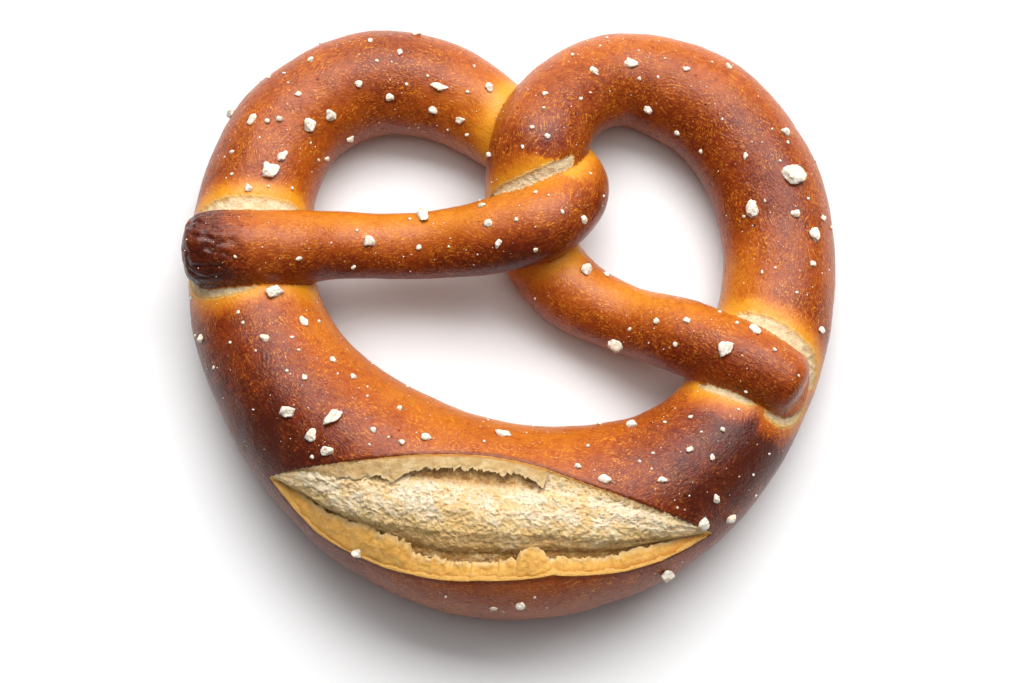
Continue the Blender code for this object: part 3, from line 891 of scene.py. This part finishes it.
JAGS = ((0.0384, 0.05), (0.0352, 0.018), (0.016, 0.007))  # depth across the burst and length along it
RIPPLES = (0.35, 3.0)  # height and length of a sheet's unevenness all over
CRINKLES = (0.3, 1.2)  # and of that which grows towards its torn edge
CURLS = (0.5, 2.4)  # and of the torn edge's own
CURLED = (0.7, 1)  # from its lip to its torn edge, where the curls begin and are full


def torn_sheet(name, lip, edge_knots, lip_height, edge_height, thickness, seed):
    """A strip of stretched skin from the lip, at 0 or 1 across the burst, to its ragged torn edge."""

    def uneven(spots, height_and_length):
        height, length = height_and_length
        return height * rough(spots, length)

    def shape(length, around):
        x = (2 * length - 1) * SHEET_LENGTH
        level = np.zeros(len(x))
        top = around < SHEET_TOP
        out = np.where(top, around / SHEET_TOP, (1 - around) / (1 - SHEET_TOP))
        edge = along(edge_knots, x)
        for depth, size in JAGS:
            edge += depth * rough(np.stack([x / size, level + seed, level], -1), 1.0)
        across = lip + (edge - lip) * out
        flat = burst_point(x, across, level)
        rise = lip_height + (edge_height - lip_height) * out**SHEET_BOW
        rise += uneven(flat + seed, RIPPLES) + uneven(flat, CRINKLES) * np.sqrt(out)
        rise += between(out, *CURLED) * uneven(flat + 2 * seed, CURLS)
        under = np.where(top, 0, thickness * np.sqrt(np.clip(1 - out**SHEET_RIM, 0, 1)))
        taper = np.clip((1 - np.abs(x)) * SHEET_ENDS, 0, 1)
        from_lip = np.linalg.norm(flat - burst_point(x, level + round(lip), level), axis=1)
        return burst_point(x, across, (rise - under) * taper), {"out": out, "from_lip": from_lip}

    return wrapped(name, SHEET_ROWS, SHEET_COLUMNS, shape)


ledge = torn_sheet(
    "ledge", lip=-0.02, edge_knots=LEDGE_EDGE, lip_height=-0.28, edge_height=-0.8, thickness=1.3, seed=3.7
)
LEDGE_BEIGE = (0.52, 0.32, 0.125)
LEDGE_PALE = (0.64, 0.47, 0.24)
LEDGE_GOLD = (0.50, 0.20, 0.025)
stretched = Finish("stretched skin")
from_lip = stretched.noted("from_lip")
out = stretched.noted("out")
colour = stretched.mix(stretched.step(stretched.cloud(2.5, 4.0, 0.6), 0.4, 0.7), LEDGE_BEIGE, LEDGE_PALE)
colour = stretched.mix(stretched.step(from_lip, 1.0, 0.1), colour, LEDGE_GOLD)
colour = stretched.mix(stretched.step(out, 0.75, 1.0), colour, LEDGE_PALE)
stretched.set(Base_Color=colour, Roughness=0.6)
stretched.set(Subsurface_Weight=0.25, Subsurface_Radius=(1.0, 0.6, 0.3), Subsurface_Scale=0.8 * MM)
creased = stretched.times(stretched.cloud(0.9, 5.0, 0.75), 0.7)
stretched.bump(stretched.plus(creased, stretched.times(out, 0.2)))
settle(ledge, stretched.material)

flap = torn_sheet(
    "flap", lip=1.02, edge_knots=FLAP_EDGE, lip_height=-0.28, edge_height=-2.5, thickness=1.5, seed=11.3
)
FLAP_ORANGE = (0.60, 0.20, 0.012)
FLAP_GOLD = (0.78, 0.42, 0.08)
FLAP_TAN = (0.72, 0.36, 0.065)
FLAP_PALE = (0.76, 0.54, 0.25)
browned = Finish("browned flap")
from_lip = browned.noted("from_lip")
out = browned.noted("out")
colour = browned.mix(browned.step(browned.cloud(2.5, 5.0, 0.7), 0.4, 0.62), FLAP_GOLD, FLAP_TAN)
spots = browned.step(browned.cloud(0.9, 3.0, 0.7), 0.52, 0.68)
colour = browned.mix(browned.times(spots, 0.5), colour, FLAP_PALE)
colour = browned.mix(browned.step(from_lip, 1.5, 0.1), colour, FLAP_ORANGE)
torn_edge = browned.plus(out, browned.times(browned.cloud(1.2, 3.0), 0.3))
colour = browned.mix(browned.step(torn_edge, 0.85, 1.2), colour, FLAP_PALE)
browned.set(Base_Color=colour, Roughness=0.5)
browned.set(Subsurface_Weight=0.25, Subsurface_Radius=(1.0, 0.5, 0.2), Subsurface_Scale=0.8 * MM)
creased = browned.times(browned.cloud(0.9, 5.0, 0.75), 0.45)
browned.bump(browned.plus(creased, browned.times(out, 0.1)))
settle(flap, browned.material)

# ----------------------------------------------------------------------------------------
# The salt is coarse pretzel salt, white rough lumps pressed from smaller crystals. It was strewn on the wet
# skin before baking and has baked on. The largest lie where a hand dropped them, the rest as they fell.
# ----------------------------------------------------------------------------------------
# The largest lumps: x, y, length, width, and turn in degrees.
LUMPS = (
    (69, 33.7, 5.4, 4.8, 30),
    (-22, 23.5, 4.8, 3.0, 0),
    (-59.7, 34.5, 4.4, 3.6, 20),
    (-56.6, 38.4, 2.8, 2.2, 60),
    (36.5, -64.8, 5.2, 3.6, 25),
    (-50.3, 46.9, 3.4, 3.0, 0),
    (-45.1, 50.2, 2.6, 2.4, 0),
    (-18.1, 57.5, 4.0, 2.0, 80),
    (59.3, 25.7, 5.0, 2.6, 70),
    (74, 19, 4.0, 2.4, 100),
    (-57.4, 2.8, 4.2, 3.2, 0),
    (-41.8, -30.5, 4.8, 3.0, 110),
    (-52.8, -28.6, 3.4, 3.2, 0),
    (-46.9, -34.5, 2.8, 2.4, 40),
    (-43.1, -38.4, 2.6, 2.4, 0),
    (-2.1, -33.7, 3.6, 2.2, 90),
    (25.4, -7.2, 3.8, 3.4, 0),
    (51, -12.6, 4.0, 3.0, 60),
    (58.2, -7.4, 3.2, 2.2, 40),
    (44.9, -53.9, 3.4, 2.8, 60),
    (-70.4, 53.1, 3.0, 2.4, 30),
    (29.5, 64.1, 3.4, 2.2, 0),
    (17.9, 11.1, 3.2, 2.6, 0),
    (-36.2, -61.2, 2.4, 2.2, 0),
)
LUMP_FINENESS = 4
SUNK = 0.3  # of a grain's height that lies below the skin
HEIGHT_OF_GRAIN = 0.75  # over its width
FACES_OF_GRAIN = 12
FACE_DEPTHS = (0.68, 1.0)  # of its flat faces from its middle, over half its size
NEAREST_CORNER = 0.8  # one over the reach of its furthest corner
# height of its relief, and how many bumps there are across half its size
CHUNKS, GRIT = (0.2, 1.3), (0.08, 4.0)
CRACKS, CRACK_WIDTH_OF_GRAIN = (0.8, 3.0), 0.12  # likewise of its cracks, and how wide they are
REACH = (82, 76)  # half the width and depth over which salt is scattered
ABOVE = 100.0  # a height over all of the pretzel, from which a grain is dropped
STEEPEST = 0.3  # least upward part of the skin's normal where a scattered grain stays
CLEAR_OF_BURST = 0.1
CLEAR_OF_STRAND = 2.0
# How many there are at most, the smallest and largest length, the spacing, the seed, the faces' fineness.
GRAINS = (62, 1.5, 2.9, 5.5, 7, 3)
CHIPS = (110, 0.7, 1.4, 3.0, 21, 2)
SPECKS = (420, 0.25, 0.55, 1.2, 33, 1)
SPOTS_TRIED = 900  # for each kind at least
TRIES = 8  # for each grain at least
SLIMMEST = 0.7  # of a grain's width over its length


def add_crystal(bm, spot, normal, length, width, turn, fineness, seed):
    """One rough broken lump with flat faces and cracks, part of it sunk in the skin."""
    height = HEIGHT_OF_GRAIN * width
    made = bmesh.ops.create_icosphere(bm, subdivisions=fineness, radius=1)["verts"]
    draw = np.random.default_rng(round(10 * seed))
    faces = draw.normal(size=(FACES_OF_GRAIN, 3))
    faces /= np.linalg.norm(faces, axis=1)[:, None] * draw.uniform(*FACE_DEPTHS, FACES_OF_GRAIN)[:, None]
    for vert in made:
        at = vert.co.normalized()
        out = 1 / max(NEAREST_CORNER, (faces @ at).max())
        out += CHUNKS[0] * noise.noise(at * CHUNKS[1] + Vector((seed, 0, 0)))
        out += GRIT[0] * noise.noise(at * GRIT[1] + Vector((0, seed, 0)))
        from_crack = abs(noise.noise(at * CRACKS[1] + Vector((0, 0, seed))))
        vert.co = at * (out - CRACKS[0] * max(0, CRACK_WIDTH_OF_GRAIN - from_crack))
    tilt = normal.to_track_quat("Z", "X").to_matrix().to_4x4()
    size = Matrix.Diagonal((length / 2, width / 2, height / 2, 1))
    centre = Matrix.Translation(spot + normal * height * (0.5 - SUNK))
    place = centre @ tilt @ Matrix.Rotation(math.radians(turn), 4, "Z") @ size
    bmesh.ops.transform(bm, matrix=place, verts=made)


ground_points = (coordinates(crust.data) / MM + MIDDLE).tolist()
ground = BVHTree.FromPolygons(ground_points, [tuple(face.vertices) for face in crust.data.polygons])


def scatter(bm, placed, kind):
    """Strews grains of one kind over the skin, clear of the burst, the tears and each other."""
    most, smallest, largest, spacing, seed, fineness = kind
    down = Vector((0, 0, -1))
    made = 0
    tries = max(SPOTS_TRIED, TRIES * most)
    for x, y, share, slim, turn in np.random.default_rng(seed).random((tries, 5)).tolist():
        above = Vector(((2 * x - 1) * REACH[0], (2 * y - 1) * REACH[1], ABOVE))
        spot, normal, *_ = ground.ray_cast(above, down)
        if made == most or not spot or normal.z < STEEPEST:
            continue
        if any((spot - near).length < spacing for near in placed):
            continue
        skin = Skin(np.array([spot]), rope)
        if -CLEAR_OF_BURST < skin.burst()[0][0] < 1 + CLEAR_OF_BURST or skin.torn()[0] > 0:
            continue
        if skin.gap[0] < CLEAR_OF_STRAND:
            continue
        length = smallest + (largest - smallest) * share**2
        width = length * (SLIMMEST + (1 - SLIMMEST) * slim)
        add_crystal(bm, spot, normal, length, width, 360 * turn, fineness, 9.7 * made + seed)
        placed.append(spot)
        made += 1


bm = bmesh.new()
placed = []
for number, (x, y, length, width, turn) in enumerate(LUMPS):
    spot, normal, *_ = ground.ray_cast(Vector((x, y, ABOVE)), Vector((0, 0, -1)))
    if spot:
        add_crystal(bm, spot, normal, length, width, turn, LUMP_FINENESS, 5.3 * number)
        placed.append(spot)
for kind in (GRAINS, CHIPS, SPECKS):
    scatter(bm, placed, kind)
salt = new_object("salt", bm)

SALT_WHITE = (0.86, 0.82, 0.74)
SALT_SHADOW = (0.64, 0.47, 0.28)
salty = Finish("coarse salt")
# painted shade: patches of tan laid over the white salt
salt_shade_patches = salty.step(salty.cloud(0.7, 3.0, 0.6), 0.60, 0.38)
salty.set(Base_Color=salty.mix(salty.times(salt_shade_patches, 0.75), SALT_WHITE, SALT_SHADOW), Roughness=0.55)
salty.set(Subsurface_Weight=0.4, Subsurface_Radius=(1.0, 0.9, 0.75), Subsurface_Scale=0.6 * MM)
salty.bump(salty.times(salty.cloud(0.45, 4.0, 0.7), 0.3))
settle(salt, salty.material)

# ----------------------------------------------------------------------------------------
# The studio is a white floor in a dim white room. A broad softbox high behind the pretzel lights it, a fill
# and a ceiling light soften the shadows, and a low backdrop shows as a streak in the glossy crust.
# ----------------------------------------------------------------------------------------
FLOOR_SIZE = 6.0
FLOOR_WHITES = ((0.77, 0.77, 0.77), (0.75, 0.75, 0.75))
ROOM = 0.09  # the white room's own brightness
# Each light's width, height, distance, elevation of its middle, turn from straight behind towards +X, power
# in watts, and whether it shows in glossy surfaces.
LIGHTS = {
    "softbox": (1.4, 0.7, 1.0, 57, 14, 17.0, True),
    "fill": (1.2, 1.0, 1.0, 48, 8, 2.8, False),
    "ceiling": (1.0, 1.0, 1.0, 82, 30, 5.2, False),
    "backdrop": (1.5, 0.35, 0.95, 16, 0, 1.6, True),
}

bm = bmesh.new()
bmesh.ops.create_grid(bm, x_segments=1, y_segments=1, size=FLOOR_SIZE / 2)
floor = new_object("floor", bm)
white = Finish("white floor")
white.set(Base_Color=white.mix(white.cloud(60.0), *FLOOR_WHITES), Roughness=0.8)
floor.data.materials.append(white.material)

for name, (wide, tall, distance, elevation, turn, power, glossy) in LIGHTS.items():
    panel = bpy.data.lights.new(name, "AREA")
    panel.shape = "RECTANGLE"
    panel.size = wide
    panel.size_y = tall
    panel.energy = power
    light = bpy.data.objects.new(name, panel)
    light.visible_glossy = glossy
    bpy.context.scene.collection.objects.link(light)
    way = Matrix.Rotation(math.radians(-turn), 3, "Z") @ Matrix.Rotation(math.radians(elevation), 3, "X")
    light.location = way @ Vector((0, distance, 0))
    light.rotation_euler = light.location.to_track_quat("Z", "Y").to_euler()

world = bpy.data.worlds.new("white room")
world.use_nodes = True
world.node_tree.nodes["Background"].inputs["Color"].default_value = (1, 1, 1, 1)
world.node_tree.nodes["Background"].inputs["Strength"].default_value = ROOM
bpy.context.scene.world = world
bpy.context.scene.view_settings.view_transform = "Standard"
